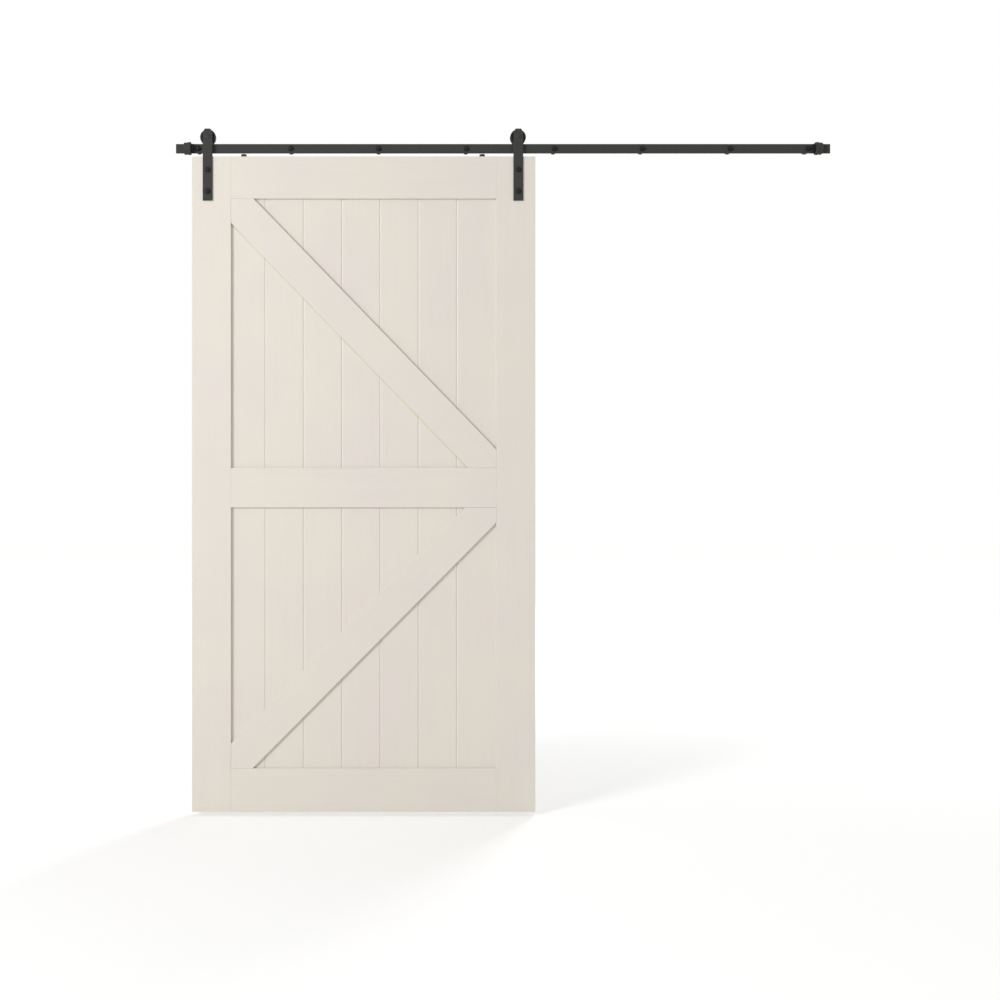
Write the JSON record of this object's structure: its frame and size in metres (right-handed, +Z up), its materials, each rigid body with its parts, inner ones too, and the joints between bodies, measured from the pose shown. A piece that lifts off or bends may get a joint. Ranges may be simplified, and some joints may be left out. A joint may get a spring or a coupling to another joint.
{
  "type": "sliding barn door",
  "caption": "Painted framed board door with diagonal braces, hung on strap hangers whose grooved wheels roll along a flat steel wall track between end stops.",
  "frame": {"origin": "on the wall plane, midway between the outer bolts of the track", "axes": "+X along the track to the right, +Y into the wall, +Z up"},
  "size_m": [2.1336, 0.0885, 2.2234],
  "materials": {
    "painted_wood": "satin ivory paint",
    "coated_steel": "fine-textured charcoal powder coat",
    "dark_fasteners": "black phosphate",
    "black_nylon": "turned, satin",
    "bearing_steel": "ground",
    "black_rubber": "moulded, matt",
    "bare_beech": "bare, fluted"
  },
  "bodies": {
    "track": {"track_rail": "coated_steel", "standoff_1": "coated_steel", "standoff_2": "coated_steel", "standoff_3": "coated_steel", "standoff_4": "coated_steel", "standoff_5": "coated_steel", "standoff_6": "coated_steel", "standoff_7": "coated_steel", "standoff_8": "coated_steel", "lag_bolts": "dark_fasteners", "left_stop_collar": "coated_steel", "right_stop_collar": "coated_steel", "left_stop_bumper": "black_rubber", "right_stop_bumper": "black_rubber", "stop_set_screws": "dark_fasteners"},
    "door": {"left_stile": "painted_wood", "right_stile": "painted_wood", "top_rail": "painted_wood", "middle_rail": "painted_wood", "bottom_rail": "painted_wood", "upper_brace": "painted_wood", "lower_brace": "painted_wood", "upper_board_1": "painted_wood", "upper_board_2": "painted_wood", "upper_board_3": "painted_wood", "upper_board_4": "painted_wood", "upper_board_5": "painted_wood", "upper_board_6": "painted_wood", "upper_board_7": "painted_wood", "lower_board_1": "painted_wood", "lower_board_2": "painted_wood", "lower_board_3": "painted_wood", "lower_board_4": "painted_wood", "lower_board_5": "painted_wood", "lower_board_6": "painted_wood", "lower_board_7": "painted_wood", "left_hanger_strap": "coated_steel", "right_hanger_strap": "coated_steel", "axle_bolts": "coated_steel", "left_anti_jump_disc": "coated_steel", "right_anti_jump_disc": "coated_steel", "hanger_bolts": "dark_fasteners", "hanger_washers": "dark_fasteners", "hanger_nuts": "dark_fasteners", "axle_spacers": "dark_fasteners", "axle_nuts": "dark_fasteners", "anti_jump_screws": "dark_fasteners", "left_bearing_inner_ring": "bearing_steel", "right_bearing_inner_ring": "bearing_steel", "frame_dowels": "bare_beech"},
    "left_roller": {"left_wheel": "black_nylon", "left_bearing_outer_ring": "bearing_steel", "left_bearing_balls": "bearing_steel", "left_bearing_shields": "bearing_steel"},
    "right_roller": {"right_wheel": "black_nylon", "right_bearing_outer_ring": "bearing_steel", "right_bearing_balls": "bearing_steel", "right_bearing_shields": "bearing_steel"}
  },
  "joints": [
    {"name": "door_slide", "type": "slide", "parent": "track", "child": "door", "axis": [1, 0, 0], "range_m": [-0.0309, 0.9443]},
    {"name": "left_wheel_spin", "type": "hinge", "parent": "door", "child": "left_roller", "pos_m": [-0.962, -0.035, 0.0362], "axis": [0, 1, 0], "continuous": true},
    {"name": "right_wheel_spin", "type": "hinge", "parent": "door", "child": "right_roller", "pos_m": [0.0486, -0.035, 0.0362], "axis": [0, 1, 0], "continuous": true}
  ],
  "couplings": [
    {"joint": "left_wheel_spin", "follows": "door_slide", "rad_per_m": 47.847},
    {"joint": "right_wheel_spin", "follows": "door_slide", "rad_per_m": 47.847}
  ]
}
